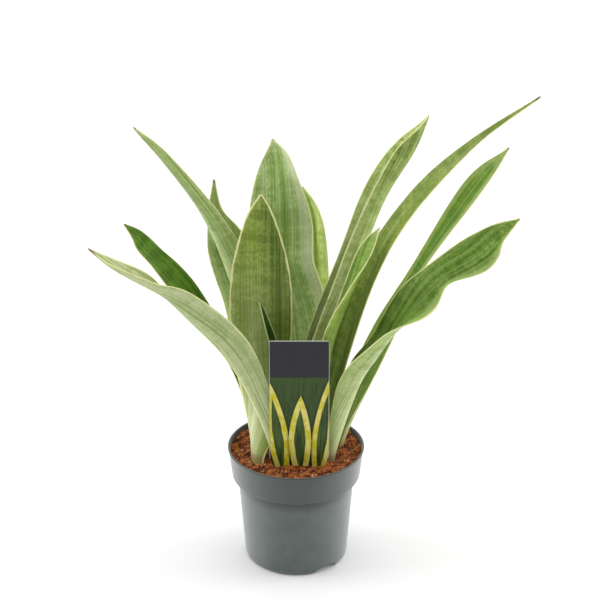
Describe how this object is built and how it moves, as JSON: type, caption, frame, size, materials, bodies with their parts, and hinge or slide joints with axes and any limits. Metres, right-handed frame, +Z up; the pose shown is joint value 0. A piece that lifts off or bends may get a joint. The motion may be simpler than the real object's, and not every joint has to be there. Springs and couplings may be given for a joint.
{
  "type": "potted snake plant",
  "caption": "Snake plant with long silver-green blades standing in coir in a round grey nursery pot, with a plain care tag in front.",
  "frame": {"origin": "the middle of the pot's underside, on the surface that the pot rests on", "axes": "+Z up along the pot's axis, -Y towards the plant's front, where the tag stands, +X to its right"},
  "size_m": [0.3701, 0.1457, 0.4467],
  "materials": {
    "pot": "matte grey recycled plastic",
    "soil": "loose reddish-brown coir",
    "tag": "satin printed plastic card",
    "leaf_left_low": "waxy satin leaf with soft streaks and a pale margin",
    "leaf_left_middle": "waxy satin leaf with soft streaks and a pale margin",
    "leaf_left_high": "waxy satin leaf with soft streaks and a pale margin",
    "leaf_rear_left": "waxy satin leaf with soft streaks and a pale margin",
    "leaf_front": "waxy satin leaf with soft streaks and a pale margin",
    "leaf_rear_wide": "waxy satin leaf with soft streaks and a pale margin",
    "leaf_rear_middle": "waxy satin leaf with soft streaks and a pale margin",
    "leaf_young_left": "waxy satin leaf with soft streaks and a pale margin",
    "leaf_tall_right": "waxy satin leaf with soft streaks and a pale margin",
    "leaf_young_right": "waxy satin leaf with soft streaks and a pale margin",
    "leaf_long_right": "waxy satin leaf with soft streaks and a pale margin",
    "leaf_rear_right": "waxy satin leaf with soft streaks and a pale margin",
    "leaf_wavy_right": "waxy satin leaf with soft streaks and a pale margin"
  },
  "bodies": {
    "root": {"pot": "pot", "soil": "soil", "tag": "tag", "leaf_left_low": "leaf_left_low", "leaf_left_middle": "leaf_left_middle", "leaf_left_high": "leaf_left_high", "leaf_rear_left": "leaf_rear_left", "leaf_front": "leaf_front", "leaf_rear_wide": "leaf_rear_wide", "leaf_rear_middle": "leaf_rear_middle", "leaf_young_left": "leaf_young_left", "leaf_tall_right": "leaf_tall_right", "leaf_young_right": "leaf_young_right", "leaf_long_right": "leaf_long_right", "leaf_rear_right": "leaf_rear_right", "leaf_wavy_right": "leaf_wavy_right"}
  },
  "joints": []
}
